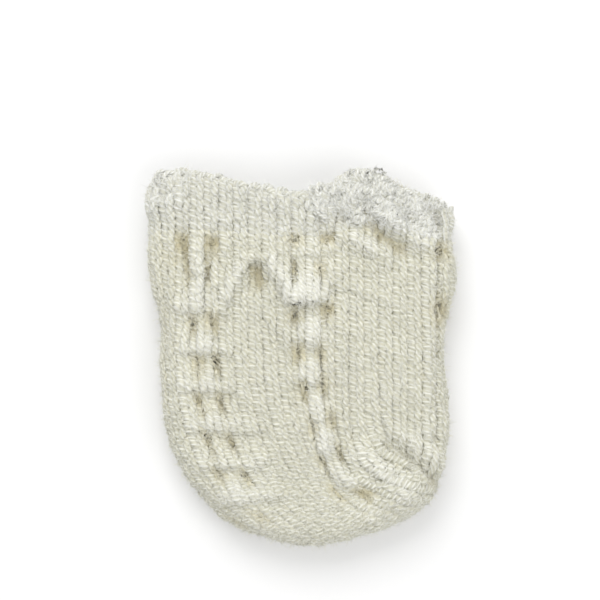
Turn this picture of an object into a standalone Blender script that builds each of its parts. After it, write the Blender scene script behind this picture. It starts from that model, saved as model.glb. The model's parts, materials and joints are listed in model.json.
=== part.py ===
"""Hand-knitted baby bootie, pressed flat and lying on its side.

The leg and foot are one flattened knitted tube with an open mouth at +Y.  The tube is cut
into the sections it is knitted and sewn from: on each side (outer = upper side, inner = the
side it lies on) panels, two lace bands, a heel, a sole, a toe and a frilled cuff with a
picot edge, closed along the back and the sole by a sewn seam.

X runs from the back of the leg (-) to the shin (+), Y runs up the leg towards the mouth,
Z is up through the two layers.  The foot turns the corner towards -Y and +X.
"""
import math

import bmesh
import bpy
from mathutils import Matrix, Vector

# Driving dimensions, in metres
THICKNESS = 0.016          # both layers and the air between them
WALL = 0.0032              # one layer of knitting
GAP = 0.0003               # clearance between neighbouring sections
MID = THICKNESS / 2        # height of the fold line round the edge
EDGE_RADIUS = THICKNESS / 2
TUBE_TOP = 0.060           # the tube is built past the mouth and then trimmed
PLAN_TOP = 0.055           # section outlines run past the mouth, but stay inside the tube
PLAN_SIDE = 0.044          # and past its sides
PLAN_BOTTOM = -0.055       # and past its sole
EDGE_STEPS = 4             # facets in a quarter of the rounded edge
LINE_STEPS = 4             # facets between neighbouring points of the fold line
CUTTER_LOW = -0.010        # cutters reach below the floor, above the top and past both sides
CUTTER_HIGH = 0.030
CUTTER_SIDE = 0.070
CUTTER_END = -0.090
OVERRUN = 0.005            # section outlines are extruded past the skin by this much
COLUMN_STEP = 0.003

# Fold line of the tube: down the back, round heel, sole and toe, and up the shin
FOLD_LINE = (
    (-0.0386, TUBE_TOP), (-0.0384, 0.0286), (-0.0360, 0.0066), (-0.0356, -0.0114),
    (-0.0313, -0.0279), (-0.0223, -0.0394), (-0.0108, -0.0459), (0.0027, -0.0484),
    (0.0162, -0.0456), (0.0282, -0.0406), (0.0354, -0.0324), (0.0376, -0.0164),
    (0.0362, 0.0026), (0.0388, 0.0206), (0.0377, TUBE_TOP),
)
# Mouth edge of each side, from the back to the shin
OUTER_MOUTH = (
    (-0.0458, 0.0411), (-0.0318, 0.0456), (-0.0168, 0.0419), (0.0016, 0.0392),
    (0.0147, 0.0446), (0.0282, 0.0396), (0.0442, 0.0361),
)
INNER_MOUTH = (
    (-0.0458, 0.0391), (-0.0298, 0.0426), (-0.0108, 0.0401), (0.0072, 0.0411),
    (0.0222, 0.0396), (0.0442, 0.0376),
)

# Knitted sections, by the place at the top where each border column of stitches starts
BACK_LACE = (-0.0313, -0.0198)
LEAF_LACE = (-0.0028, 0.0072)
EYELET_BAND_TOP = 0.0316
PICOT_DEPTH = 0.0022
PICOT_PITCH = 0.0036
PICOT_RISE = 0.0010
SEAM_RADIUS = 0.0010
SEAM_SIDES = 10
SEAM_STEPS = 8

# The columns lean towards the toe below the calf, and turn round the ankle crease
CALF_Y = 0.0126
SOLE_DEPTH = 0.059
SOLE_LEAN = math.radians(60)
ANKLE_CREASE = (0.0217, -0.0209)
CREASE_SLOPE = -0.87
CREASE_LEAN = math.radians(70)
TURN_START_X = -0.0058
TURN_WIDTH = 0.020

# Joints
CUFF_HINGE_Y = 0.0206
CUFF_HINGE_RADIUS = 0.009
CUFF_HINGE_SIDES = 24
ANKLE_PIVOT = (0.001, -0.0315)
ANKLE_RADIUS = 0.041
ANKLE_SIDES = 96

# Cream wool, a little lighter where the knitting is open
YARN = {
    "panel": (0.64, 0.62, 0.52),
    "lace": (0.68, 0.66, 0.57),
    "cuff": (0.66, 0.65, 0.57),
    "foot": (0.63, 0.61, 0.51),
    "seam": (0.58, 0.56, 0.46),
}


def smooth_curve(points, steps):
    """A curve through the points, with the given number of steps between neighbours."""
    ends = [points[0], *points, points[-1]]
    curve = []
    for before, start, stop, after in zip(ends, ends[1:], ends[2:], ends[3:]):
        a, b, c, d = (Vector(p) for p in (before, start, stop, after))
        for i in range(steps):
            t = i / steps
            curve.append(0.5 * (2 * b + (c - a) * t + (2 * a - 5 * b + 4 * c - d) * t**2
                                + (3 * b - a - 3 * c + d) * t**3))
    curve.append(Vector(points[-1]))
    return curve


def left_normals(points):
    """Unit normals on the left of the direction of travel."""
    normals = []
    for i, _ in enumerate(points):
        run = points[min(i + 1, len(points) - 1)] - points[max(i - 1, 0)]
        normals.append(Vector((-run.y, run.x)).normalized())
    return normals


def offset(points, distance):
    return [p + n * distance for p, n in zip(points, left_normals(points))]


def link(name, mesh):
    obj = bpy.data.objects.new(name, mesh)
    bpy.context.scene.collection.objects.link(obj)
    return obj


def loft(name, loops):
    """A closed solid through loops of equal length, capped at both ends."""
    mesh = bpy.data.meshes.new(name)
    shape = bmesh.new()
    rings = [[shape.verts.new(p) for p in loop] for loop in loops]
    for low, high in zip(rings, rings[1:]):
        for i, _ in enumerate(low):
            j = (i + 1) % len(low)
            shape.faces.new((low[i], low[j], high[j], high[i]))
    shape.faces.new(rings[0][::-1])
    shape.faces.new(rings[-1])
    bmesh.ops.recalc_face_normals(shape, faces=shape.faces)
    shape.to_mesh(mesh)
    shape.free()
    return link(name, mesh)


def prism(name, plan, low, high):
    """A plan outline extruded from one height to another."""
    return loft(name, [[(x, y, z) for x, y in plan] for z in (low, high)])


def flattened_tube(name, inset, top):
    """The flattened tube, a distance inside its outer skin, with its open end at the top."""
    radius = EDGE_RADIUS - inset
    line = offset(smooth_curve(FOLD_LINE, LINE_STEPS), inset)
    line[0].y = line[-1].y = top
    loops = []
    for step in range(-EDGE_STEPS, EDGE_STEPS + 1):
        turn = math.pi / 2 * step / EDGE_STEPS
        ring = offset(line, radius * (1 - math.cos(turn)))
        loops.append([(p.x, p.y, MID + radius * math.sin(turn)) for p in ring])
    return loft(name, loops)


def guide(obj):
    """Keep a cutter out of the model."""
    obj.hide_render = True
    obj.display_type = "WIRE"
    return obj


def cut(obj, cutter, operation):
    boolean = obj.modifiers.new(cutter.name, "BOOLEAN")
    boolean.object = cutter
    boolean.operation = operation
    boolean.solver = "EXACT"


def ankle_disc(name, radius):
    """A disc about the ankle pivot, right through both sides of the bootie."""
    turns = [2 * math.pi * i / ANKLE_SIDES for i in range(ANKLE_SIDES)]
    x, y = ANKLE_PIVOT
    plan = [(x + radius * math.cos(t), y + radius * math.sin(t)) for t in turns]
    return guide(prism(name, plan, CUTTER_LOW, CUTTER_HIGH))


def hinge_block(name, radius):
    """Everything below the cuff hinge, with a round end about the hinge's axis."""
    turns = [math.pi * (i / CUFF_HINGE_SIDES - 0.5) for i in range(CUFF_HINGE_SIDES + 1)]
    arc = [(CUFF_HINGE_Y + radius * math.cos(t), MID + radius * math.sin(t)) for t in turns]
    side_view = [(CUTTER_END, CUTTER_LOW), (CUFF_HINGE_Y, CUTTER_LOW), *arc,
                 (CUFF_HINGE_Y, CUTTER_HIGH), (CUTTER_END, CUTTER_HIGH)]
    loops = [[(x, y, z) for y, z in side_view] for x in (-CUTTER_SIDE, CUTTER_SIDE)]
    return guide(loft(name, loops))


def smoothstep(t):
    t = min(max(t, 0.0), 1.0)
    return t * t * (3 - 2 * t)


def lean(x, y):
    """Angle of a column of stitches from straight down, turning towards the toe."""
    depth = min(max((CALF_Y - y) / SOLE_DEPTH, 0.0), 1.2)
    calf = SOLE_LEAN * depth**2
    round_ankle = math.atan2(max(ANKLE_CREASE[1] - y, 0.0), max(ANKLE_CREASE[0] - x, 0.0005))
    round_ankle = min(round_ankle, CREASE_LEAN)
    share = smoothstep((x - TURN_START_X) / TURN_WIDTH)
    return calf * (1 - share) + round_ankle * share


def column(start_x):
    """The path of one column of stitches, from above the mouth to below the sole."""
    points = [Vector((start_x, PLAN_TOP))]
    while points[-1].y > PLAN_BOTTOM and points[-1].x < PLAN_SIDE - COLUMN_STEP:
        angle = lean(*points[-1])
        step = Vector((math.sin(angle), -math.cos(angle))) * COLUMN_STEP
        points.append(points[-1] + step)
    return points


def between_columns(left, right):
    """Plan of a band between two columns; None runs past the edge of the tube."""
    back = [Vector((-PLAN_SIDE, PLAN_TOP)), Vector((-PLAN_SIDE, PLAN_BOTTOM))]
    front = [Vector((PLAN_SIDE, PLAN_TOP)), Vector((PLAN_SIDE, PLAN_BOTTOM))]
    if left is not None:
        back = offset(column(left), GAP / 2)
    if right is not None:
        front = offset(column(right), -GAP / 2)
    return back + front[::-1]


def crease_y(x):
    """The ankle crease runs level to its corner, then down towards the toe."""
    return ANKLE_CREASE[1] + CREASE_SLOPE * max(x - ANKLE_CREASE[0], 0.0)


def mouth_line(mouth):
    return smooth_curve(mouth, 6)


def picot_plan(mouth):
    """Scalloped edging along the mouth: a straight lower edge and a looped upper edge."""
    low = offset(mouth_line(mouth), GAP)
    top = []
    travelled = 0.0
    line = smooth_curve(mouth, 16)
    for here, after, normal in zip(line, line[1:], left_normals(line)):
        rise = PICOT_RISE * abs(math.sin(math.pi * travelled / PICOT_PITCH))
        top.append(here + normal * (PICOT_DEPTH + rise))
        travelled += (after - here).length
    return low + top[::-1]


class Bootie:
    """Holds the solids that every section is cut from, and cuts the sections."""

    def __init__(self):
        self.skin = guide(flattened_tube("skin", 0.0, TUBE_TOP))
        self.cavity = guide(flattened_tube("cavity", WALL, TUBE_TOP + OVERRUN))
        cut(self.skin, self.cavity, "DIFFERENCE")
        self.frames = {
            "leg": body_frame("leg_frame", (0.0, 0.0, 0.0)),
            "cuff": body_frame("cuff_hinge", (0.0, CUFF_HINGE_Y, MID)),
            "foot": body_frame("ankle_pivot", (*ANKLE_PIVOT, MID)),
        }
        self.seam_slot = guide(self.slot())
        self.leg_end = hinge_block("leg_end", CUFF_HINGE_RADIUS - GAP / 2)
        self.cuff_end = hinge_block("cuff_end", CUFF_HINGE_RADIUS + GAP / 2)
        self.foot_disc = ankle_disc("foot_disc", ANKLE_RADIUS - GAP / 2)
        self.leg_arch = ankle_disc("leg_arch", ANKLE_RADIUS + GAP / 2)

    @staticmethod
    def slot():
        """Room between the two sides for the seam, along the back and the sole only."""
        corner = Vector(ANKLE_CREASE)
        plan = [Vector((-PLAN_SIDE, PLAN_TOP)), Vector((-PLAN_SIDE, PLAN_BOTTOM)),
                Vector((PLAN_SIDE, PLAN_BOTTOM)), Vector((PLAN_SIDE, crease_y(PLAN_SIDE))),
                corner, Vector((0.0, corner.y)), Vector((0.0, PLAN_TOP))]
        room = SEAM_RADIUS + GAP
        return prism("seam_slot", plan, MID - room, MID + room)

    def section(self, name, plan, side, body, colour):
        """One knitted section: the part of the tube wall inside a plan outline."""
        layer = (-OVERRUN, MID - GAP / 2)
        if side == "outer":
            layer = (MID + GAP / 2, THICKNESS + OVERRUN)
        piece = prism(name, plan, *layer)
        cut(piece, self.skin, "INTERSECT")
        cut(piece, self.seam_slot, "DIFFERENCE")
        self.clip(piece, body)
        hang(piece, self.frames[body])
        return finish(piece, colour)

    def clip(self, piece, body):
        """Trim a piece to the round ends where its body turns."""
        if body == "cuff":
            cut(piece, self.cuff_end, "DIFFERENCE")
        if body == "leg":
            cut(piece, self.leg_end, "INTERSECT")
            cut(piece, self.leg_arch, "DIFFERENCE")
        if body == "foot":
            cut(piece, self.foot_disc, "INTERSECT")


def body_frame(name, place):
    """An empty that the pieces of one body hang from, on the axis that the body turns about."""
    empty = bpy.data.objects.new(name, None)
    empty.location = place
    bpy.context.scene.collection.objects.link(empty)
    return empty


def hang(piece, frame):
    """Parent a piece to its body's empty and leave it where it is."""
    piece.parent = frame
    piece.matrix_parent_inverse = Matrix.Translation(-frame.location)


def finish(obj, colour):
    material = bpy.data.materials.new(obj.name)
    material.use_nodes = True
    shader = material.node_tree.nodes["Principled BSDF"]
    shader.inputs["Base Color"].default_value = (*YARN[colour], 1.0)
    shader.inputs["Roughness"].default_value = 0.9
    shader.inputs["Metallic"].default_value = 0.0
    obj.data.materials.append(material)
    return obj


def cuff_sections(bootie, side, mouth):
    top, bottom = EYELET_BAND_TOP - GAP / 2, EYELET_BAND_TOP + GAP / 2
    band = [(-PLAN_SIDE, CUFF_HINGE_Y), (PLAN_SIDE, CUFF_HINGE_Y),
            (PLAN_SIDE, top), (-PLAN_SIDE, top)]
    bootie.section(f"{side}_eyelet_band", band, side, "cuff", "lace")
    frill = [(-PLAN_SIDE, bottom), (PLAN_SIDE, bottom), *mouth_line(mouth)[::-1]]
    bootie.section(f"{side}_cuff_frill", frill, side, "cuff", "cuff")
    bootie.section(f"{side}_picot_edging", picot_plan(mouth), side, "cuff", "lace")


def leg_sections(bootie, side):
    borders = {
        "back_panel": (None, BACK_LACE[0], "panel"),
        "back_lace": (*BACK_LACE, "lace"),
        "leg_panel": (BACK_LACE[1], LEAF_LACE[0], "panel"),
        "leaf_lace": (*LEAF_LACE, "lace"),
        "shin_panel": (LEAF_LACE[1], None, "panel"),
    }
    for name, (left, right, colour) in borders.items():
        bootie.section(f"{side}_{name}", between_columns(left, right), side, "leg", colour)


def foot_sections(bootie, side):
    borders = {
        "heel": (None, BACK_LACE[0], "foot"),
        "heel_lace": (*BACK_LACE, "lace"),
        "sole_panel": (BACK_LACE[1], LEAF_LACE[0], "foot"),
        "foot_leaf_lace": (*LEAF_LACE, "lace"),
    }
    for name, (left, right, colour) in borders.items():
        bootie.section(f"{side}_{name}", between_columns(left, right), side, "foot", colour)
    border = offset(column(LEAF_LACE[1]), GAP / 2)
    above = [p for p in border if p.y > ANKLE_CREASE[1] + GAP]
    below = [p for p in border if p.y < ANKLE_CREASE[1] - GAP]
    crease = [Vector((x, crease_y(x))) for x in (above[-1].x, ANKLE_CREASE[0], PLAN_SIDE)]
    ankle = above + offset(crease, GAP / 2) + [Vector((PLAN_SIDE, PLAN_TOP))]
    bootie.section(f"{side}_ankle_panel", ankle, side, "foot", "panel")
    toe = offset(crease, -GAP / 2)[::-1] + below + [Vector((PLAN_SIDE, below[-1].y))]
    bootie.section(f"{side}_toe", toe, side, "foot", "foot")


def seam(bootie, name, body, keep):
    """Sewn seam: a yarn laid along the part of the fold line that the test keeps."""
    line = offset(smooth_curve(FOLD_LINE, SEAM_STEPS), WALL / 2)
    turns = [2 * math.pi * i / SEAM_SIDES for i in range(SEAM_SIDES)]
    rings = []
    for p, n in zip(line, left_normals(line)):
        if keep(p):
            rings.append([(*(p + n * SEAM_RADIUS * math.cos(t)), MID + SEAM_RADIUS * math.sin(t))
                          for t in turns])
    yarn = loft(name, rings)
    bootie.clip(yarn, body)
    hang(yarn, bootie.frames[body])
    return finish(yarn, "seam")


def main():
    for old in list(bpy.data.objects):
        bpy.data.objects.remove(old)
    bootie = Bootie()
    cuff_sections(bootie, "outer", OUTER_MOUTH)
    cuff_sections(bootie, "inner", INNER_MOUTH)
    for side in ("outer", "inner"):
        leg_sections(bootie, side)
        foot_sections(bootie, side)
    cuff_seam_top = min(OUTER_MOUTH[0][1], INNER_MOUTH[0][1]) - PICOT_DEPTH
    seam(bootie, "cuff_seam", "cuff", lambda p: p.x < 0 and CUFF_HINGE_Y < p.y < cuff_seam_top)
    seam(bootie, "back_seam", "leg", lambda p: p.x < 0 and abs(p.y) < CUFF_HINGE_Y + EDGE_RADIUS)
    seam(bootie, "sole_seam", "foot", lambda p: p.y < crease_y(p.x) - EDGE_RADIUS / 2 or p.x < 0 > p.y)


main()
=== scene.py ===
"""Looks of the hand-knitted baby bootie: every course of stitches as real yarn.

The flattened bootie is knitted again here, loop by loop, on the shape that the frame holds.
A place in the knitting is (u, s): u counts columns of stitches from the back of the leg to
the shin, and s is the way down a column from the mouth, in millimetres.  columns() lays the
columns out in plan, folded() bends the plan round the edges of the flattened tube, and each
course is one yarn that loops along u.  Lengths here are millimetres; MM makes them metres.
"""
import json
import math

import bpy
import numpy as np
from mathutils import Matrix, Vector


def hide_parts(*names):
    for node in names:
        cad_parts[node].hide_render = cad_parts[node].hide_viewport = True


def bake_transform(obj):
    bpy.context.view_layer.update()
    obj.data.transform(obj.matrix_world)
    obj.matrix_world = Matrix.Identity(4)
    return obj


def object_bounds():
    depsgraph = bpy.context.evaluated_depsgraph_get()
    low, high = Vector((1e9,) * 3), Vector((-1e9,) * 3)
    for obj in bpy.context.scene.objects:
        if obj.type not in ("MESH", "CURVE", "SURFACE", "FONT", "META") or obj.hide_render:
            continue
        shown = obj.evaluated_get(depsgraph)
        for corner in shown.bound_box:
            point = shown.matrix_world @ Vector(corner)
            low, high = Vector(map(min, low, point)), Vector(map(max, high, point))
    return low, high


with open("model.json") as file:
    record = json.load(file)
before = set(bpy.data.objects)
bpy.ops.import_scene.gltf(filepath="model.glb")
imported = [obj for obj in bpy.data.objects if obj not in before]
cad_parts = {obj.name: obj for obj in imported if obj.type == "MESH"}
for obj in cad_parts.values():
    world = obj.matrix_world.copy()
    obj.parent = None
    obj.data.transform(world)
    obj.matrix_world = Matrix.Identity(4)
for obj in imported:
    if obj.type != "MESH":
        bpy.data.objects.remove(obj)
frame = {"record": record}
cad_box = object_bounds()

MM = 0.001

# ---------------------------------------------------------------- the shape that the frame holds
THICKNESS = (cad_box[1][2] - cad_box[0][2]) / MM
WALL = 3.2
MID = THICKNESS / 2
EDGE_RADIUS = THICKNESS / 2
LAYER_RADIUS = EDGE_RADIUS - WALL / 2

FOLD_LINE = (
    (-38.6, 60.0), (-38.8, 28.6), (-38.2, 18.6), (-36.0, 6.6), (-35.6, -11.4), (-31.3, -27.9),
    (-22.3, -39.4), (-10.8, -45.9), (2.7, -48.4), (16.2, -45.6), (28.2, -40.6),
    (35.4, -32.4), (37.6, -16.4), (36.6, 2.6), (39.9, 20.6), (38.6, 30.6),
    (37.9, 60.0),
)
MOUTH = {
    "outer": ((-45.8, 36.6), (-31.8, 44.0), (-16.8, 41.6), (1.6, 38.8), (14.7, 44.2),
              (28.2, 38.9), (44.2, 33.4)),
    "inner": ((-45.8, 38.6), (-29.8, 41.6), (-10.8, 39.4), (7.2, 40.1), (22.2, 38.4),
              (44.2, 33.4)),
}
CUFF_HINGE_Y = 20.6

# ---------------------------------------------------------------- the knitting
WALE = 3.6                 # width of a column of stitches
ROW = 1.75                 # height of a course
YARN_RADIUS = 0.92
FLATTEN = 1.19             # the yarn lies wider than it is high
PLIES = 3
PLY_DEPTH = 0.27           # how far the valleys between plies go in, as a share of the radius
PLY_PITCH = 3.0            # one full turn of the twist
LOOP_SWAY = 0.19           # how far a loop's legs bow out, in columns
LOOP_HEIGHT = 1.72
LOOP_DEPTH = 0.46
FIRST_COLUMN_X = -42.1
COLUMNS = 24
NOMINAL_MOUTH = 43.0       # height of the first course, before it follows the mouth
CUFF_Y = 25.6              # gather line
BAND_TOP_Y = 31.6
LEG_Y = 12.3

# the columns lean along the sole at the heel, and turn round the ankle below its crease
CALF_Y = 12.6
SOLE_DEPTH = 59.0
SOLE_LEAN = math.radians(60)
CREASE_X, CREASE_Y = 21.7, -20.9
CREASE_SLOPE = -0.87
CREASE_LEAN = math.radians(70)
CREASE_LEAD, CREASE_FADE = 0.8, 4.0
TURN_START_X, TURN_WIDTH = -5.8, 20.0
TURN_TOP_Y = CREASE_Y - 2.0
TURN_SOFTNESS = 4.0
TURN_CORE = 2.0            # smallest radius of the turn round the ankle

COURSES = 72
PLAN_STEP = 0.5            # from one row of the plan to the next, down a column
PLAN_LENGTH = 130.0
PER_COLUMN = 4             # places of the plan across a column
LAST_CELL = 1.001          # keeps a look-up inside the plan's last cell
PAST_EDGE = math.pi / 2 + 0.09    # a course turns this far, to meet the other side's

# columns where a lace panel starts and stops
BACK_LACE = (3, 6)
LEAF_LACE = (11, 14)


def smoothstep(t):
    """0 below 0, 1 above 1, and a smooth rise between."""
    t = np.clip(t, 0.0, 1.0)
    return t * t * (3 - 2 * t)


def smooth_curve(points, steps):
    """Points along a curve through the given points."""
    p = np.array([points[0], *points, points[-1]], float)
    t = (np.arange(steps) / steps)[:, None]
    runs = []
    for a, b, c, d in zip(p, p[1:], p[2:], p[3:]):
        runs.append(0.5 * (2 * b + (c - a) * t + (2 * a - 5 * b + 4 * c - d) * t**2
                           + (3 * b - a - 3 * c + d) * t**3))
    return np.vstack([*runs, p[-1:]])


def crease_y(x):
    """Height of the ankle's crease, which drops towards the toe."""
    return CREASE_Y + CREASE_SLOPE * np.maximum(x - CREASE_X, 0.0)


def lean(x, y):
    """Angle of a column from straight down: it leans at the heel and turns round the ankle."""
    calf = SOLE_LEAN * np.clip((CALF_Y - y) / SOLE_DEPTH, 0.0, 1.2) ** 2
    below = TURN_SOFTNESS * np.logaddexp(0.0, (TURN_TOP_Y - y) / TURN_SOFTNESS)
    turn = np.arctan2(below, np.hypot(np.maximum(CREASE_X - x, 0.0), TURN_CORE))
    turn = np.minimum(turn, CREASE_LEAN)
    beyond = CREASE_LEAN * smoothstep((crease_y(x) + CREASE_LEAD - y) / CREASE_FADE)
    turn = np.where(x > CREASE_X, beyond, turn)
    share = smoothstep((x - TURN_START_X) / TURN_WIDTH)
    return calf * (1 - share) + turn * share


def columns():
    """Plan position of every quarter column, at every step down from the mouth."""
    start = FIRST_COLUMN_X + WALE * np.arange(COLUMNS * PER_COLUMN + 1) / PER_COLUMN
    at = np.column_stack([start, np.full(len(start), NOMINAL_MOUTH)])
    rows = [at]
    for _ in range(int(PLAN_LENGTH / PLAN_STEP)):
        angle = lean(at[:, 0], at[:, 1])
        at = at + PLAN_STEP * np.column_stack([np.sin(angle), -np.cos(angle)])
        rows.append(at)
    return np.array(rows)


COLUMN_PLAN = columns()


def plan(u, s):
    """Plan position (x, y) of a place in the knitting."""
    i = np.clip(s / PLAN_STEP, 0, len(COLUMN_PLAN) - LAST_CELL)
    j = np.clip(u * PER_COLUMN, 0, COLUMN_PLAN.shape[1] - LAST_CELL)
    i0, j0 = i.astype(int), j.astype(int)
    fi, fj = (i - i0)[..., None], (j - j0)[..., None]
    low = COLUMN_PLAN[i0, j0] * (1 - fj) + COLUMN_PLAN[i0, j0 + 1] * fj
    high = COLUMN_PLAN[i0 + 1, j0] * (1 - fj) + COLUMN_PLAN[i0 + 1, j0 + 1] * fj
    xy = low * (1 - fi) + high * fi
    # above the first course the columns run straight up
    xy[..., 1] -= np.minimum(s, 0.0)
    return xy


def to_mouth(xy, side):
    """Stretch the cuff's courses so that they follow the mouth edge."""
    edge = smooth_curve(MOUTH[side], 8)
    top = np.interp(xy[..., 0], edge[:, 0], edge[:, 1])
    up = np.maximum(xy[..., 1] - CUFF_Y, 0.0) / (NOMINAL_MOUTH - CUFF_Y)
    out = xy.copy()
    out[..., 1] += up * (top - NOMINAL_MOUTH)
    return out


EDGE_STEPS = 12
EDGE_LINE = smooth_curve(FOLD_LINE, EDGE_STEPS)
LOOKED_UP_AT_ONCE = 4096


def nearest_edge(xy):
    """Nearest place on the fold line, the normal into the bootie there, and the distance in."""
    a, b = EDGE_LINE[:-1], EDGE_LINE[1:]
    run = b - a
    tangent = np.gradient(EDGE_LINE, axis=0)
    normal = np.column_stack([-tangent[:, 1], tangent[:, 0]])
    normal /= np.linalg.norm(normal, axis=1)[:, None]
    nearest, inward = np.empty_like(xy), np.empty_like(xy)
    for first in range(0, len(xy), LOOKED_UP_AT_ONCE):
        part = slice(first, first + LOOKED_UP_AT_ONCE)
        p = xy[part][:, None, :]
        t = np.clip(((p - a) * run).sum(2) / (run**2).sum(1), 0, 1)
        q = a + t[..., None] * run
        best = ((p - q) ** 2).sum(2).argmin(1)
        pick = np.arange(len(best))
        nearest[part] = q[pick, best]
        share = t[pick, best][:, None]
        mixed = normal[best] * (1 - share) + normal[best + 1] * share
        inward[part] = mixed / np.linalg.norm(mixed, axis=1)[:, None]
    depth = ((xy - nearest) * inward).sum(1)
    return nearest, inward, depth


def folded(xy, height, side):
    """Bend plan places round the rounded edge; height is measured out from mid-layer."""
    up = 1.0 if side == "outer" else -1.0
    nearest, inward, depth = nearest_edge(xy)
    turn = np.maximum(EDGE_RADIUS - depth, 0.0) / LAYER_RADIUS
    flat = (turn == 0)[:, None]
    out_xy = -inward * np.sin(turn)[:, None]
    centre = np.where(flat, xy, nearest + inward * EDGE_RADIUS)
    reach = (LAYER_RADIUS + height)[:, None]
    spot = centre + np.where(flat, 0.0, reach * out_xy)
    z = MID + up * (LAYER_RADIUS + height) * np.cos(turn)
    normal = np.column_stack([np.where(flat, 0.0, out_xy), up * np.cos(turn)])
    return np.column_stack([spot, z]), normal, turn


# ---------------------------------------------------------------- lace, folds and ruffles
GRID_SIZE = 61
GRID = np.random.default_rng(7).uniform(-1, 1, (GRID_SIZE, GRID_SIZE))
PATTERN_SHIFT = (17.3, 9.1)


def rough(x, y, cell, pattern):
    """Smooth unevenness between -1 and 1, with bumps about one cell apart, by pattern number."""
    a = np.asarray(x) / cell + PATTERN_SHIFT[0] * pattern
    b = np.asarray(y) / cell + PATTERN_SHIFT[1] * pattern
    i, j = np.floor(a).astype(int), np.floor(b).astype(int)
    s, t = smoothstep(a - i), smoothstep(b - j)
    near, far = i % GRID_SIZE, (i + 1) % GRID_SIZE
    low, high = j % GRID_SIZE, (j + 1) % GRID_SIZE
    return ((GRID[near, low] * (1 - s) + GRID[far, low] * s) * (1 - t)
            + (GRID[near, high] * (1 - s) + GRID[far, high] * s) * t)


def stitch_at(x, y):
    """The place in the knitting (u, s) that lies at a plan position."""
    far = ((COLUMN_PLAN - (x, y)) ** 2).sum(2)
    i, j = np.unravel_index(far.argmin(), far.shape)
    return j / PER_COLUMN, i * PLAN_STEP


# eyelets and slits: plan position, half width and half height
EYELETS = (
    (-29.6, 28.6, 1.35, 1.6), (-22.2, 28.4, 1.55, 1.6), (-28.0, 20.4, 0.6, 2.0),
    (-23.2, 20.4, 0.5, 1.6), (-26.5, 8.2, 0.9, 2.3), (-22.1, 8.8, 1.1, 2.4),
    (-25.4, -1.4, 1.0, 1.6), (-21.2, -1.5, 1.0, 2.3), (-25.7, -5.2, 0.5, 1.6),
    (-25.4, -10.2, 0.9, 1.8), (-19.9, -11.5, 1.0, 2.2), (-24.3, -14.0, 0.5, 1.7),
    (-22.9, -20.2, 1.0, 1.9), (-17.5, -20.9, 1.0, 2.2), (-20.9, -24.0, 0.5, 1.7),
    (-20.2, -29.4, 1.0, 1.9), (-13.8, -29.9, 1.0, 2.0), (-16.6, -41.6, 0.9, 1.6),
    (-10.6, -39.5, 0.8, 1.6),
    (-1.8, 29.9, 1.5, 1.4), (6.9, 30.0, 1.2, 1.4), (-1.3, 20.7, 0.9, 2.0), (4.6, 21.6, 0.9, 1.6),
    (-1.2, 10.4, 1.3, 2.0), (6.6, 11.6, 1.5, 1.8), (-0.5, 1.2, 1.2, 2.4), (5.0, 0.4, 1.1, 1.9),
    (0.7, -8.2, 1.1, 2.2), (4.7, -6.9, 1.1, 2.0), (2.9, -17.4, 1.1, 2.1), (7.6, -15.4, 1.0, 1.8),
    (34.3, 26.8, 2.4, 2.5), (34.4, 11.4, 2.3, 3.0), (5.3, -25.6, 1.1, 1.8), (9.4, -24.4, 1.1, 1.9),
    (9.0, -33.9, 1.3, 2.0), (15.1, -33.4, 1.3, 2.0),
)
HOLE_SCALE = 0.95
HOLES = [(*stitch_at(x, y), HOLE_SCALE * wide, HOLE_SCALE * tall) for x, y, wide, tall in EYELETS]
PUSH_REACH, PUSH_FADE = 2.5, 1.5        # in sizes of the hole
DIMPLE_WIDER, DIMPLE_TALLER = 0.4, 0.6
DIMPLE_DEPTH = 0.8
# raised leaves between the eyelets: middle, half width, half height, rise
LEAVES = tuple((*stitch_at(x, y), wide, tall, rise) for x, y, wide, tall, rise in (
    (2.2, 26.0, 2.9, 4.0, 1.2), (2.2, 17.6, 3.6, 4.2, 2.2), (2.8, 6.4, 2.9, 3.9, 2.2),
    (2.0, -3.8, 2.7, 3.9, 2.2), (3.8, -12.6, 2.7, 3.9, 2.2), (6.2, -21.2, 2.7, 3.8, 2.2),
    (10.4, -29.4, 2.9, 3.7, 1.9), (-25.9, 21.0, 1.7, 9.5, 2.3), (-24.2, 4.4, 1.5, 3.6, 1.5),
    (-23.2, -5.4, 1.5, 3.4, 1.4), (-22.0, -14.6, 1.5, 3.4, 1.4), (-19.8, -23.8, 1.5, 3.4, 1.3),
    (-16.6, -33.0, 2.0, 3.6, 1.3),
))
LEAF_SCALE, LEAF_CROWN = 0.95, 1.6
# ledges across the lace on the heel side and under the cuff: start, stop, rise
LEDGES = (
    ((-31.0, 12.2), (-19.0, 11.8), 1.7), ((-30.5, 2.0), (-18.0, 1.6), 1.7),
    ((-30.0, -7.4), (-16.5, -7.9), 1.6), ((-28.5, -17.2), (-11.0, -18.1), 1.5),
    ((-26.0, -26.8), (-9.0, -26.4), 1.4), ((-20.0, -35.4), (-5.0, -34.0), 1.3),
    ((-4.0, 14.3), (6.8, 14.6), 2.2), ((-4.0, 4.6), (3.0, 4.0), 0.8),
    ((-3.0, -5.6), (5.0, -6.4), 0.8), ((7.0, 19.0), (24.0, 12.5), 1.0),
)
LEDGE_SCALE = 0.78
LEDGE_BACK, LEDGE_DROP = 3.0, 0.9       # how wide its soft and its steep side are
LEDGE_END = 0.1                         # how far past its ends it fades, as a share of its length
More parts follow.
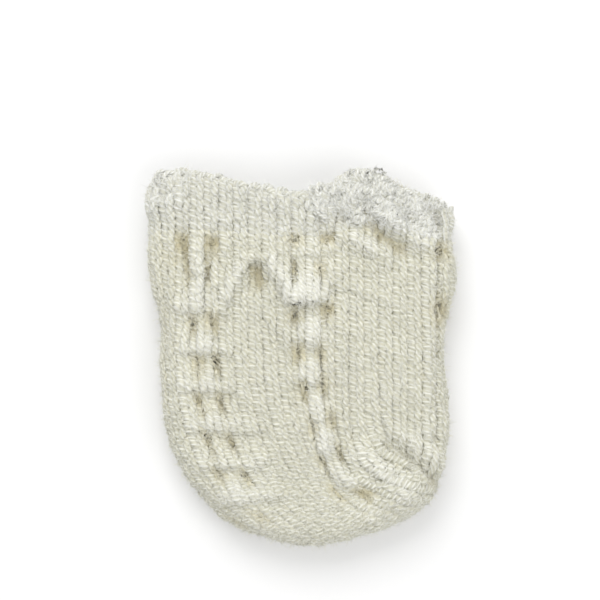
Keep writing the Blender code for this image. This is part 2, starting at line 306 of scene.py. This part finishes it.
# shallow troughs: start, stop, width, depth
TROUGHS = (
    ((-29.4, 28.0), (-26.9, 19.5), 1.0, 1.4), ((-22.0, 28.0), (-23.0, 20.0), 1.0, 1.3),
    ((-27.2, 9.4), (-26.0, 4.8), 0.8, 1.0), ((-22.2, 9.4), (-21.2, 4.6), 0.8, 1.0),
    ((-25.9, -0.6), (-25.4, -5.6), 0.7, 1.0), ((-21.2, -0.4), (-20.0, -5.4), 0.8, 1.0),
    ((-25.4, -10.2), (-24.2, -14.6), 0.7, 1.0), ((-20.2, -10.4), (-18.6, -14.8), 0.8, 1.0),
    ((-23.6, -20.0), (-21.6, -24.2), 0.7, 1.0), ((-18.0, -20.0), (-15.8, -24.6), 0.8, 1.0),
    ((-2.0, 24.0), (-1.8, 15.2), 0.8, 1.3), ((-1.2, 12.8), (-1.0, 7.0), 0.8, 1.4),
    ((-0.6, 3.4), (-0.6, -2.2), 0.8, 1.4), ((0.2, -6.2), (1.4, -12.0), 0.8, 1.4),
    ((2.4, -15.6), (4.2, -21.0), 0.8, 1.4), ((5.0, -24.6), (7.6, -29.8), 0.8, 1.4),
    ((6.2, 12.0), (5.4, 6.5), 0.8, 1.2), ((4.8, 2.0), (4.8, -4.0), 0.8, 1.2),
    ((4.9, -6.0), (6.2, -11.0), 0.8, 1.2), ((7.4, -15.0), (9.0, -20.0), 0.8, 1.2),
    ((9.4, -24.0), (12.0, -29.0), 0.8, 1.2), ((14.6, -33.0), (17.5, -36.0), 0.8, 1.0),
    ((-33.6, 40.0), (-33.4, -10.0), 0.7, 0.7),
)
TROUGH_SCALE = 0.75
# folds and creases of the upper side: start, stop, width, rise
FOLDS = (
    ((CREASE_X + 0.5, CREASE_Y - 1.0), (34.5, -32.2), 2.2, -1.3),
    ((CREASE_X + 1, CREASE_Y + 3.2), (34.0, -26.5), 2.6, 1.2),
    ((14.5, -23.5), (25.5, -33.0), 3.0, 1.6),
    # the band that shows beyond the upper layer's edge
    ((34.0, 36.0), (33.8, 1.0), 0.9, -1.5),
    ((33.6, 1.0), (33.2, -22.0), 0.9, -1.0),
    ((31.0, 34.0), (31.0, -18.0), 1.8, 0.8),
    # hollow in the folded piece of the cuff, with a fold on each side
    ((17.0, 31.8), (24.6, 27.0), 2.1, -1.8),
    ((12.6, 30.0), (22.0, 23.6), 1.6, 1.7),
    ((19.5, 35.6), (30.0, 28.0), 1.7, 1.6),
    # arch under the cuff, with a fold falling from each side of it
    ((-11.2, 21.4), (-10.4, 18.0), 2.4, -2.5),
    ((-15.2, 22.4), (-18.4, 15.4), 1.5, 1.9),
    ((-6.8, 22.6), (-1.8, 15.2), 1.8, 2.6),
    ((-14.0, 24.6), (-7.6, 24.6), 1.2, 1.9),
)
GATHER = ((-36, CUFF_Y - 1.5), (33, CUFF_Y - 1.0), 1.6)
GATHER_DEPTH = 0.5
RIB, SHIN_RIB = 0.32, 0.34              # how far a column of stitches stands out
CUFF_RIB = 0.12                         # what the cuff adds to that
LOWER_SHARE, LOWER_MOST = 0.6, 0.5      # how much relief the pressed lower side keeps


def open_holes(u, s):
    """Push the yarn aside round every eyelet."""
    across, down = u * WALE, s
    for hole_u, hole_s, wide, tall in HOLES:
        a, b = (across - hole_u * WALE) / wide, (down - hole_s) / tall
        far = np.sqrt(a * a + b * b) + 1e-6
        push = (far**3 + 1.0) ** (1 / 3) / far
        push = 1 + (push - 1) * (1 - smoothstep((far - PUSH_REACH) / PUSH_FADE))
        across = hole_u * WALE + a * wide * push
        down = hole_s + b * tall * push
    return across / WALE, down


def hollows(u, s):
    """How far a place lies inside the dimples round the eyelets, from 0 to 1."""
    deep = 0 * u
    for hole_u, hole_s, wide, tall in HOLES:
        a, b = (u - hole_u) * WALE / (wide + DIMPLE_WIDER), (s - hole_s) / (tall + DIMPLE_TALLER)
        deep = np.maximum(deep, np.exp(-(a * a + b * b)))
    return deep


def along(x, y, start, stop, width):
    """1 on a straight stretch from start to stop, fading over the width to its sides and ends."""
    a, b = np.array(start, float), np.array(stop, float)
    run = b - a
    t = np.clip(((x - a[0]) * run[0] + (y - a[1]) * run[1]) / (run @ run), 0, 1)
    gap = np.hypot(x - a[0] - t * run[0], y - a[1] - t * run[1])
    return np.exp(-(gap / width) ** 2)


def ledge(x, y, start, stop):
    """A ridge with a soft back above it and a steep drop below it."""
    a, b = np.array(start, float), np.array(stop, float)
    run = b - a
    span = np.hypot(*run)
    t = ((x - a[0]) * run[0] + (y - a[1]) * run[1]) / span**2
    above = ((y - a[1]) * run[0] - (x - a[0]) * run[1]) / span
    fade = 2 * LEDGE_END
    ends = smoothstep((t + LEDGE_END) / fade) * smoothstep((1 + LEDGE_END - t) / fade)
    return ends * np.exp(-(above / np.where(above > 0, LEDGE_BACK, LEDGE_DROP)) ** 2)


def ruffles(x, y):
    """Folds of the frilled end of the cuff and of its back corner, growing towards the mouth."""
    grow = smoothstep((y - CUFF_Y) / 10.0)
    right = smoothstep(x / 6.0)
    wave = np.sin(0.80 * x + 0.25 * y + 1.6 * rough(x, y, 8.0, 3))
    corner = smoothstep((-26.0 - x) / 5.0) * smoothstep((y - 34.0) / 5.0)
    return (grow * right * (0.7 * wave + 0.6 * rough(x, y, 3.4, 11) + 0.3 * rough(x, y, 1.9, 12))
            + corner * (1.0 + 0.8 * rough(x, y, 3.4, 13)))


def relief(u, s, x, y, side):
    """How far the layer stands out of its resting shape."""
    kind = 1 if side == "outer" else 2
    out = 0.60 * rough(x, y, 9.0, kind) + 0.35 * rough(x, y, 3.6, kind + 5)
    rib = np.where(u > LEAF_LACE[1], SHIN_RIB, RIB) + CUFF_RIB * smoothstep((y - CUFF_Y) / 4)
    out = out - rib * np.cos(2 * np.pi * u)
    for leaf_u, leaf_s, wide, tall, rise in LEAVES:
        a, b = (u - leaf_u) * WALE / wide, (s - leaf_s) / tall
        out = out + LEAF_SCALE * rise * np.exp(-(a * a + b * b) ** LEAF_CROWN)
    for start, stop, rise in LEDGES:
        out = out + LEDGE_SCALE * rise * ledge(x, y, start, stop)
    for start, stop, width, depth in TROUGHS:
        out = out - TROUGH_SCALE * depth * along(x, y, start, stop, width)
    out = out - GATHER_DEPTH * along(x, y, *GATHER)
    out = out - DIMPLE_DEPTH * hollows(u, s) + ruffles(x, y)
    if side == "outer":
        return out + sum(rise * along(x, y, start, stop, width)
                         for start, stop, width, rise in FOLDS)
    # the floor presses the lower side flat
    return LOWER_SHARE * np.where(out > 0, LOWER_MOST * np.tanh(out / LOWER_MOST), out)


# ---------------------------------------------------------------- yarn
FOOT_SECTIONS = ("heel", "heel_lace", "sole_panel", "foot_leaf_lace", "ankle_panel", "toe")
FLOOR_CLEARANCE = 0.85     # least height of the yarn's middle, as a share of its radius
FIBRE_CLEARANCE = 0.05
TAPER = (0.055, 0.050, 0.040, 0.012)    # half width of a loose fibre from root to tip
PER_LOOP = 12              # points round a standing loop
SEAM_STEP = 0.22
SEAM_PITCH = 3.1
SEAM_RADIUS = 0.62


def section_of(side, course_y, u):
    """Name of the knitted section at each column of a course."""
    band = np.digitize(u, [*BACK_LACE, *LEAF_LACE])
    if course_y > BAND_TOP_Y:
        names = ["cuff_frill"] * 5
    elif course_y > CUFF_Y:
        names = ["eyelet_band"] * 5
    elif course_y > LEG_Y:
        names = ["back_panel", "back_lace", "leg_panel", "leaf_lace", "shin_panel"]
    else:
        names = FOOT_SECTIONS[:5]
    out = np.array([f"{side}_{n}" for n in names])[band]
    if course_y <= LEG_Y:
        below_crease = course_y < crease_y(FIRST_COLUMN_X + WALE * u)
        out = np.where((band == 4) & below_crease, f"{side}_toe", out)
    return out


def course(side, row, samples):
    """One course of loops: yarn positions, outward normals, yarn radius, painted light and shade,
    and sections.
    """
    tau = np.arange(0.25, COLUMNS - 0.25, 1.0 / samples)
    turn = 2 * np.pi * (tau - 0.5)
    level = row * ROW
    kind = 20 if side == "outer" else 40
    sway = LOOP_SWAY * (1 + 0.25 * rough(tau, row, 0.9, kind))
    u = tau + sway * np.sin(2 * turn) + 0.09 * rough(tau, row, 0.8, kind + 1)
    s = level - LOOP_HEIGHT * np.cos(turn) + 0.30 * rough(tau, row, 0.8, kind + 2)
    lift = -LOOP_DEPTH * np.cos(2 * turn)
    u, s = open_holes(u, s)
    # the yarn is thicker where the columns fan out, and pulled thin round an eyelet
    spread = np.linalg.norm(plan(u + 0.5, s) - plan(u - 0.5, s), axis=1) / WALE
    thick = YARN_RADIUS * np.clip(spread, 0.92, 1.25) * (1 - 0.20 * hollows(u, s))
    xy = to_mouth(plan(u, s), side)
    height = lift + relief(u, s, xy[:, 0], xy[:, 1], side)
    height = height + 0.16 * rough(tau, row, 0.5, kind + 3)
    points, normals, bend = folded(xy, height, side)
    names = section_of(side, NOMINAL_MOUTH - level, tau)
    # painted shade in the dimples round the eyelets, below the layer's surface and in the valleys
    # between columns; painted highlight on raised parts
    valley = np.maximum(np.cos(2 * np.pi * u), 0) ** 2
    low = hollows(u, s) + 0.5 * np.clip(-0.3 - height, 0, 2) + 0.36 * valley
    shade = np.clip(low - 0.30 * np.clip(height - 0.8, 0, 2.4), -1, 1)
    return points, normals, thick, shade, names, bend <= PAST_EDGE


def frames(points, normals):
    """Unit vectors along a line, across it and away from the layer."""
    tangent = np.gradient(points, axis=0)
    tangent /= np.linalg.norm(tangent, axis=1)[:, None]
    across = np.cross(tangent, normals)
    across /= np.linalg.norm(across, axis=1)[:, None]
    return tangent, across, np.cross(across, tangent)


def length_of(points):
    """Length along a line, up to each of its points."""
    return np.concatenate([[0], np.cumsum(np.linalg.norm(np.diff(points, axis=0), axis=1))])


class Yarn:
    """Collects runs of plied yarn and turns them, with their loose fibres, into one mesh."""

    def __init__(self, name, sides):
        self.name, self.sides = name, sides
        self.runs = []
        self.fibres = []

    def add(self, points, normals, radius, shade=0.0):
        """One run of yarn; shade is painted light and shade, from -1 for a painted highlight on
        raised parts to 1 for painted shade deep in a hollow.
        """
        if len(points) > 3:
            points = points.copy()
            points[:, 2] = np.maximum(points[:, 2], FLOOR_CLEARANCE * radius)
            self.runs.append((points, normals, np.broadcast_to(radius, len(points)),
                              np.broadcast_to(shade, len(points))))

    def tube(self, points, normals, radius, way):
        """Points of a flattened tube whose lobes wind round it as plies."""
        _, across, up = frames(points, normals)
        turn = 2 * np.pi * np.arange(self.sides) / self.sides
        twist = 2 * np.pi * way[:, None] / PLY_PITCH
        lobes = 1 - PLY_DEPTH * (1 - np.cos(PLIES * turn)) / 2
        swell = 1 + 0.10 * rough(way, 0 * way + points[0, 0], 1.7, 3)
        ends = np.ones(len(points))
        ends[[0, -1]] = 0.5
        angle = turn[None, :] + twist
        reach = (radius * swell * ends)[:, None] * lobes[None, :]
        ring = (FLATTEN * np.cos(angle)[..., None] * across[:, None, :]
                + np.sin(angle)[..., None] / FLATTEN * up[:, None, :])
        return points[:, None, :] + ring * reach[..., None]

    def fray(self, per_mm, rng):
        """Loose fibres that leave the yarn sideways and curl back over the knitting."""
        for points, normals, radius, shade in self.runs:
            low = np.maximum(shade, 0)
            count = rng.poisson(per_mm * length_of(points)[-1] * (0.8 + 3.0 * low.mean()))
            if count == 0:
                continue
            weight = np.cumsum(1 + 15 * low**2)
            at = np.searchsorted(weight, rng.uniform(0, weight[-1], count))
            at = at.clip(1, len(points) - 2)
            tangent, across, up = (v[at] for v in frames(points, normals))
            turn = rng.uniform(-0.2, np.pi + 0.2, count)[:, None]
            out = np.cos(turn) * across + np.sin(turn) * up
            heading = (out * rng.uniform(0.2, 0.9, (count, 1))
                       + tangent * rng.normal(0, 1, (count, 1))
                       + across * rng.normal(0, 0.6, (count, 1)))
            heading /= np.linalg.norm(heading, axis=1)[:, None]
            curl = rng.normal(0, 0.55, (count, 3)) - 0.55 * normals[at]
            size = rng.uniform(0.35, 0.95, (count, 1))
            spot = points[at] + out * radius[at][:, None] * 0.85
            line = [spot]
            for _ in TAPER[1:]:
                spot = spot + heading * size
                spot[:, 2] = np.maximum(spot[:, 2], FIBRE_CLEARANCE)
                heading = heading + curl * size
                heading /= np.linalg.norm(heading, axis=1)[:, None]
                line.append(spot)
            self.fibres.append((np.stack(line, axis=1), normals[at], shade[at]))

    def tubes(self):
        """Every run as a tube, laid out in strips for baking."""
        verts, faces, yarn_uv, bake_uv, shades = [], [], [], [], []
        count, sides = 0, self.sides
        longest = max(length_of(run[0])[-1] for run in self.runs)
        corner = np.arange(sides)
        after = (corner + 1) % sides
        for index, (points, normals, radius, shade) in enumerate(self.runs):
            way = length_of(points)
            shades.append(np.repeat(shade, sides))
            verts.append(self.tube(points, normals, radius, way).reshape(-1, 3))
            base = count + sides * np.arange(len(points) - 1)[:, None]
            quads = np.stack([base + corner, base + after, base + sides + after,
                              base + sides + corner], axis=2).reshape(-1, 4)
            faces.append(quads)
            a, b = way[:-1, None] + 0 * corner, way[1:, None] + 0 * corner
            v0 = np.broadcast_to(corner / sides, a.shape)
            v1 = v0 + 1.0 / sides
            uv = np.stack([np.stack([a, v0], 2), np.stack([a, v1], 2),
                           np.stack([b, v1], 2), np.stack([b, v0], 2)], axis=2).reshape(-1, 2)
            yarn_uv.append(uv)
            bake = np.empty_like(uv)
            bake[:, 0] = 0.002 + 0.996 * uv[:, 0] / longest
            bake[:, 1] = 0.97 * (index + 0.04 + 0.92 * uv[:, 1]) / len(self.runs)
            bake_uv.append(bake)
            count += len(points) * sides
        return (np.vstack(verts), np.vstack(faces), np.vstack(yarn_uv), np.vstack(bake_uv),
                np.concatenate(shades))

    def ribbons(self, rng, first):
        """Every loose fibre as a narrow tapering ribbon."""
        lines = np.concatenate([f[0] for f in self.fibres])
        facing = np.concatenate([f[1] for f in self.fibres])
        count, steps = lines.shape[:2]
        run = lines[:, -1] - lines[:, 0]
        width = np.cross(run, facing + rng.normal(0, 0.25, (count, 3)))
        width /= np.linalg.norm(width, axis=1)[:, None]
        taper = np.array(TAPER)[None, :, None]
        left, right = lines - width[:, None] * taper, lines + width[:, None] * taper
        verts = np.stack([left, right], axis=2).reshape(-1, 3)
        # each fibre takes the painted light and shade of the yarn at its root
        shades = np.repeat(np.concatenate([f[2] for f in self.fibres]), 2 * steps)
        base = first + 2 * (steps * np.arange(count)[:, None] + np.arange(steps - 1))
        faces = np.stack([base, base + 1, base + 3, base + 2], axis=2).reshape(-1, 4)
        uv = np.tile([[0.0, 0.30], [0.0, 0.36], [1.0, 0.36], [1.0, 0.30]], (len(faces), 1))
        bake = uv * (0.9, 0.01) + (0.05, 0.98)
        return verts, faces, uv, bake, shades

    def build(self, material, rng):
        """One mesh object, with the yarn's own coordinates and a layout for baking."""
        verts, faces, yarn_uv, bake_uv, shade = self.tubes()
        if self.fibres:
            more = self.ribbons(rng, len(verts))
            verts, faces = np.vstack([verts, more[0]]), np.vstack([faces, more[1]])
            yarn_uv, bake_uv = np.vstack([yarn_uv, more[2]]), np.vstack([bake_uv, more[3]])
            shade = np.concatenate([shade, more[4]])
        mesh = bpy.data.meshes.new(self.name)
        mesh.vertices.add(len(verts))
        mesh.vertices.foreach_set("co", (verts * MM).ravel())
        mesh.loops.add(faces.size)
        mesh.loops.foreach_set("vertex_index", faces.ravel())
        mesh.polygons.add(len(faces))
        mesh.polygons.foreach_set("loop_start", np.arange(0, faces.size, 4))
        for layer, data in (("yarn", yarn_uv), ("OFBake", bake_uv)):
            uv_map = mesh.uv_layers.new(name=layer)
            uv_map.data.foreach_set("uv", data.astype(np.float32).ravel())
        hollow = mesh.attributes.new("hollow", "FLOAT", "POINT")
        hollow.data.foreach_set("value", shade.astype(np.float32))
        mesh.update(calc_edges=True)
        mesh.shade_smooth()
        mesh.materials.append(material)
        obj = bpy.data.objects.new(self.name, mesh)
        bpy.context.scene.collection.objects.link(obj)
        return obj


def knit(side, samples, sides):
    """Every course of one side, sorted into its sections."""
    sections = {}
    for row in range(COURSES):
        points, normals, thick, shade, names, inside = course(side, row, samples)
        breaks = np.flatnonzero((names[1:] != names[:-1]) | (inside[1:] != inside[:-1])) + 1
        stops = [0, *breaks.tolist(), len(points)]
        for start, stop in zip(stops, stops[1:]):
            if not inside[start]:
                continue
            reach = min(stop + 1, len(points)) if stop < len(points) and inside[stop] else stop
            name = str(names[start])
            sections.setdefault(name, Yarn(name + "_knit", sides))
            part = slice(start, reach)
            sections[name].add(points[part], normals[part], thick[part], shade[part])
    return sections


def trochoid(line, pitch, rise, sway, rng, wobble):
    """Loops of yarn standing along a plan line: plan positions, turn and a random lift."""
    way = length_of(line)
    loops = max(2, round(way[-1] / pitch))
    t = np.arange(0, loops, 1.0 / PER_LOOP)
    mid = t * way[-1] / loops
    random = rng.normal(0, 1, (3, loops + 2)).clip(-1.4, 1.4)
    index = np.arange(loops + 2)
    tall = rise * (1 + wobble * np.interp(t, index, random[0]))
    shift = 0.5 * wobble * pitch * np.interp(t, index, random[1])
    turn = 2 * np.pi * t
    run = mid + shift - sway * np.sin(turn)
    x, y = np.interp(run, way, line[:, 0]), np.interp(run, way, line[:, 1])
    heading = np.gradient(line, axis=0)
    tx, ty = np.interp(run, way, heading[:, 0]), np.interp(run, way, heading[:, 1])
    size = np.hypot(tx, ty)
    up = np.column_stack([-ty / size, tx / size])
    reach = tall * (1 - np.cos(turn)) / 2
    return np.column_stack([x, y]) + up * reach[:, None], turn, np.interp(t, index, random[2])


def loop_row(yarn, line, side, height, rng, *, pitch, rise, sway, radius, shade, lift=0.5,
             wobble=0.25):
    """Add a row of standing loops along a plan line to a piece of yarn work."""
    xy, turn, random = trochoid(line, pitch, rise, sway, rng, wobble)
    raised = height + lift * np.sin(turn) + lift * random * (0.3 + wobble)
    plain_column = 0 * turn + 20.0
    level = relief(plain_column, 0 * turn, xy[:, 0], xy[:, 1], side)
    points, normals, bend = folded(xy, raised + level, side)
    inside = bend <= PAST_EDGE
    stops = [0, *(np.flatnonzero(inside[1:] != inside[:-1]) + 1).tolist(), len(points)]
    for start, stop in zip(stops, stops[1:]):
        if inside[start]:
            yarn.add(points[start:stop], normals[start:stop], radius, shade)


def picot_edging(side, rng):
    """Picot edge: a chain along the mouth with small loops standing on it."""
    yarn = Yarn(f"{side}_picot_loops", 9)
    line = smooth_curve(MOUTH[side], EDGE_STEPS)
    # shade below zero paints a highlight on both rows of loops
    loop_row(yarn, line - (0, 1.3), side, 0.2, rng, pitch=2.4, rise=1.7, sway=0.8, radius=0.72,
             shade=-0.2)
    loop_row(yarn, line + (0, 0.2), side, 0.3, rng, pitch=3.2, rise=1.8, sway=0.7, radius=0.62,
             shade=-0.4)
    return yarn


def add_frill(yarn, side, rng):
    """Rows of crinkled loops over the frilled end of the cuff."""
    edge = smooth_curve(MOUTH[side], EDGE_STEPS)
    high, low = (1.15, 0.75) if side == "outer" else (0.3, 0.2)
    # each row: how far below the mouth, where along it, and how high it stands
    for drop, start, stop, height in (
        (0.9, 2, 37, high), (2.2, 1, 37, high), (3.5, 2, 36, high), (4.8, 4, 36, high),
        (6.1, 6, 35, high), (7.4, 8, 34, high), (8.7, 9, 32, high), (10.0, 11, 20, high),
        (0.9, -37, -27, low), (2.2, -37, -28, low), (3.5, -37, -29, low), (4.8, -36, -30, low),
    ):
        part = edge[(edge[:, 0] > start) & (edge[:, 0] < stop)] - (0, drop)
        if len(part) < 3:
            continue
        wave = 1.4 * rough(part[:, 0], part[:, 1], 3.0, 30)
        line = np.column_stack([part[:, 0], part[:, 1] + wave])
        # shade below zero paints a highlight on the frill's loops
        loop_row(yarn, line, side, height, rng, pitch=2.0, rise=1.9, sway=0.75, radius=0.66,
                 lift=0.35, wobble=0.6, shade=-0.5)


def whip_seam(name, keep):
    """Sewing yarn that wraps over the join of the two sides along part of the fold line."""
    yarn = Yarn(name, 9)
    line = EDGE_LINE[[bool(keep(x, y)) for x, y in EDGE_LINE]]
    way = length_of(line)
    t = np.arange(0, way[-1], SEAM_STEP)
    x, y = np.interp(t, way, line[:, 0]), np.interp(t, way, line[:, 1])
    tangent = np.gradient(np.column_stack([x, y]), axis=0)
    tangent /= np.linalg.norm(tangent, axis=1)[:, None]
    outward = np.column_stack([tangent[:, 1], -tangent[:, 0]])
    turn = 2 * np.pi * t / SEAM_PITCH + 0.8 * rough(t, 0 * t, 4.0, 8)
    reach = -1.9 + 1.0 * np.cos(turn) + 0.25 * rough(t, 0 * t, 2.0, 9)
    xy = np.column_stack([x, y]) + outward * reach[:, None]
    points = np.column_stack([xy, MID + 1.5 * np.sin(turn)])
    normals = np.column_stack([outward, 0 * t + 0.15])
    normals /= np.linalg.norm(normals, axis=1)[:, None]
    yarn.add(points, normals, SEAM_RADIUS)
    return yarn


# ---------------------------------------------------------------- materials
class Value:
    """A socket's value, so that shader maths is written as Python sums."""

    def __init__(self, shader, socket):
        self.shader, self.socket = shader, socket

    def __add__(self, other):
        return self.shader.maths("ADD", self, other)

    def __mul__(self, other):
        return self.shader.maths("MULTIPLY", self, other)

    def __sub__(self, other):
        return self.shader.maths("SUBTRACT", self, other)

    def __rsub__(self, other):
        return self.shader.maths("SUBTRACT", other, self)

    def __pow__(self, other):
        return self.shader.maths("POWER", self, other)

    def __rpow__(self, other):
        return self.shader.maths("POWER", other, self)

    __radd__, __rmul__ = __add__, __mul__


# sockets of a Mix node that mixes colours, which share their names with its other sockets
MIX_SHARE, MIX_LOW, MIX_HIGH, MIX_RESULT = 0, 6, 7, 2


class Shader:
    """One material and its nodes."""

    def __init__(self, name):
        self.material = bpy.data.materials.new(name)
        self.material.use_nodes = True
        self.tree = self.material.node_tree

    def node(self, kind, settings, sockets, outputs=(0,)):
        """A node of a type: its settings first, then the values or links of its sockets."""
        node = self.tree.nodes.new(kind)
        for name, value in settings.items():
            setattr(node, name, value)
        self.feed(node, sockets)
        values = [Value(self, node.outputs[output]) for output in outputs]
        return values if len(values) > 1 else values[0]

    def feed(self, node, sockets):
        """Give a node's sockets, by name or number, their values or links."""
        for socket, value in sockets.items():
            if isinstance(value, Value):
                self.tree.links.new(value.socket, node.inputs[socket])
            else:
                node.inputs[socket].default_value = value

    def maths(self, operation, *terms):
        return self.node("ShaderNodeMath", {"operation": operation}, dict(enumerate(terms)))

    def vector(self, *parts):
        return self.node("ShaderNodeCombineXYZ", {}, dict(enumerate(parts)))

    def mix(self, share, low, high):
        """A colour between two."""
        return self.node("ShaderNodeMix", {"data_type": "RGBA"},
                         {MIX_SHARE: share, MIX_LOW: low, MIX_HIGH: high}, (MIX_RESULT,))

    def surface(self, sockets):
        """Values or links of the surface's own sockets."""
        self.feed(self.tree.nodes["Principled BSDF"], sockets)


# each wool's name and its colours: painted light on lit strands, painted shade on duller ones,
# painted shade deep in a hollow, and painted glints
WOOLS = {
    "plain_knit": ("cream_wool", (0.725, 0.718, 0.600), (0.595, 0.58, 0.452),
                   (0.77, 0.70, 0.455), (0.92, 0.92, 0.86)),
    "lace_knit": ("lace_wool", (0.76, 0.753, 0.638), (0.62, 0.605, 0.475),
                  (0.77, 0.70, 0.445), (0.93, 0.93, 0.875)),
    "frill_knit": ("frill_wool", (0.73, 0.727, 0.632), (0.62, 0.61, 0.505),
                   (0.75, 0.70, 0.53), (0.90, 0.905, 0.88)),
    "seam_yarn": ("seam_wool", (0.74, 0.733, 0.618), (0.61, 0.595, 0.465),
                  (0.77, 0.70, 0.455), (0.91, 0.91, 0.85)),
}
STREAKS_ALONG, STREAKS_AROUND, STREAKS_DRIFT = 1.3, 17.0, 0.21    # long streaks, narrow across
FIBRE_SCALE, CLOUD_SCALE = 2400.0, 90.0
FIBRE_BUMP = 0.0002
# shares of painted colour: painted shade deep in a hollow, and a painted highlight on raised parts
HOLLOW_PAINTED_SHADE, RAISED_GLINT = 0.75, 0.55


def wool(name, *colours):
    """Soft plied wool: painted light on the strands that wind round the yarn, painted shade
    between them and in hollows, and painted glints.
    """
    light, deep, shaded, glint = ((*colour, 1.0) for colour in colours)
    s = Shader(name)
    uv = s.node("ShaderNodeUVMap", {"uv_map": "yarn"}, {})
    way, around = s.node("ShaderNodeSeparateXYZ", {}, {0: uv}, (0, 1))
    ply = s.maths("COSINE", around * (2 * math.pi * PLIES)) * 0.5 + 0.5
    streaks = s.node("ShaderNodeTexNoise", {}, {
        "Scale": 1.0, "Detail": 3.0, "Roughness": 0.6,
        "Vector": s.vector(way * STREAKS_ALONG, around * STREAKS_AROUND, way * STREAKS_DRIFT)})
    place = s.node("ShaderNodeTexCoord", {}, {}, ("Object",))
    fibre = s.node("ShaderNodeTexNoise", {}, {
        "Vector": place, "Scale": FIBRE_SCALE, "Detail": 3.0, "Roughness": 0.65})
    cloud = s.node("ShaderNodeTexNoise", {}, {
        "Vector": place, "Scale": CLOUD_SCALE, "Detail": 2.0})
    hollow = s.node("ShaderNodeAttribute", {"attribute_name": "hollow"}, {}, ("Fac",))
    height = ply * 0.5 + streaks * 1.1 + fibre * 0.5
    # painted light on the crests of the plies and the streaks, painted shade between them, with
    # random tone from the fibre and cloud noise
    shade = ply * 0.42 + streaks * 0.55 + fibre * 0.30 + cloud * 0.35 - 0.32
    # the hollow attribute paints shade where it is above zero, and a highlight on raised parts
    # where it is below
    low = s.maths("MAXIMUM", hollow, 0.0)
    high = s.maths("MAXIMUM", hollow * -1.0, 0.0)
    # painted glints along the crests of the plies, and a painted highlight on raised parts
    bright = (ply ** 4.0) * (streaks ** 2.0) * 2.8 + high * RAISED_GLINT
    strand = s.mix(bright, s.mix(shade, deep, light), glint)
    bump = s.node("ShaderNodeBump", {}, {
        "Strength": 0.8, "Distance": FIBRE_BUMP, "Height": height})
    # the base colour takes painted shade deep in a hollow, as much as the hollow attribute says
    s.surface({"Base Color": s.mix(low * HOLLOW_PAINTED_SHADE, strand, shaded), "Normal": bump,
               "Roughness": 0.9, "Sheen Weight": 0.2, "Sheen Roughness": 0.6,
               "Specular IOR Level": 0.3})
    return s.material


# ---------------------------------------------------------------- studio, in metres
LENS, SENSOR = 85, 36                   # of the camera, in millimetres
VIEW_WIDTH = 0.150                      # what the camera takes in at the bootie
LOOKS_AT = (-0.0003, 0.0141, 0.012)
FLOOR_REACH = 2.5
LAMPS = (("key", (-0.15, 0.50, 0.55), 0.5, 2.9), ("fill", (0.40, -0.25, 0.6), 0.6, 1.3))
ROOM_LIGHT = 0.75


def studio():
    """Camera straight above, a pale floor, and broad soft light."""
    scene = bpy.context.scene
    scene.view_settings.view_transform = "Standard"
    scene.view_settings.look = "None"

    def add(name, data):
        thing = bpy.data.objects.new(name, data)
        scene.collection.objects.link(thing)
        return thing

    camera = bpy.data.cameras.new("camera")
    camera.lens = LENS
    camera.sensor_width = SENSOR
    eye = add("camera", camera)
    x, y, z = LOOKS_AT
    eye.location = (x, y, z + VIEW_WIDTH * LENS / SENSOR)
    scene.camera = eye

    floor_mesh = bpy.data.meshes.new("floor")
    floor_mesh.from_pydata([(-FLOOR_REACH, -FLOOR_REACH, 0), (FLOOR_REACH, -FLOOR_REACH, 0),
                            (FLOOR_REACH, FLOOR_REACH, 0), (-FLOOR_REACH, FLOOR_REACH, 0)],
                           [], [(0, 1, 2, 3)])
    floor = add("floor", floor_mesh)
    pale = Shader("pale_floor")
    pale.surface({"Base Color": (0.9, 0.9, 0.9, 1.0), "Roughness": 0.7})
    floor_mesh.materials.append(pale.material)

    world = bpy.data.worlds.new("soft_room")
    world.use_nodes = True
    background = world.node_tree.nodes["Background"]
    background.inputs["Color"].default_value = (1, 1, 1, 1)
    background.inputs["Strength"].default_value = ROOM_LIGHT
    scene.world = world
    for name, spot, size, power in LAMPS:
        lamp = bpy.data.lights.new(name, "AREA")
        lamp.size = size
        lamp.energy = power
        light = add(name, lamp)
        light.location = spot
        aim = -light.location.copy()
        light.rotation_euler = aim.to_track_quat("-Z", "Y").to_euler()


# ---------------------------------------------------------------- the bootie
def bend_into(body, start_y, end_y):
    """A record of the leg, another body, and a start and an end height at mid-layer."""
    return {"a": "leg", "b": body, "start": (0, start_y * MM, MID * MM),
            "end": (0, end_y * MM, MID * MM)}


CUFF_BLEND = bend_into("cuff", 13.5, 30)
FOOT_BLEND = bend_into("foot", 10.5, -30)
# each side, with points to a stitch, corners round the yarn, and loose fibres to a millimetre
SIDES = (("outer", 24, 12, 2.6), ("inner", 16, 9, 0.9))
SEAM_FIBRES = 3.0
# each seam, and the part of the fold line that it closes
SEAMS = (
    ("cuff_seam", lambda x, y: x < 0 and CUFF_HINGE_Y < y < 40),
    ("back_seam", lambda x, y: x < 0 and LEG_Y - 0.5 < y < CUFF_HINGE_Y + 0.5),
    ("sole_seam", lambda x, y: y < crease_y(x) - 3 or (x < 0 and y < LEG_Y)),
)


def main():
    studio()
    rng = np.random.default_rng(2024)
    wools = {slot: wool(*tones) for slot, tones in WOOLS.items()}
    slots = {part["node"]: part["material_slot"] for part in frame["record"]["subparts"]}

    def finish(yarn, name, blend):
        piece = yarn.build(wools[slots[name]], rng)
        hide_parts(name)
        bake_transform(piece)

    for side, samples, sides, fibres in SIDES:
        pieces = knit(side, samples, sides)
        add_frill(pieces[f"{side}_cuff_frill"], side, rng)
        pieces[f"{side}_picot_edging"] = picot_edging(side, rng)
        for name, yarn in pieces.items():
            yarn.fray(fibres, rng)
            foot = name.split("_", 1)[1] in FOOT_SECTIONS
            finish(yarn, name, FOOT_BLEND if foot else CUFF_BLEND)
    for name, keep in SEAMS:
        yarn = whip_seam(name + "_stitches", keep)
        yarn.fray(SEAM_FIBRES, rng)
        finish(yarn, name, FOOT_BLEND if name == "sole_seam" else CUFF_BLEND)


main()
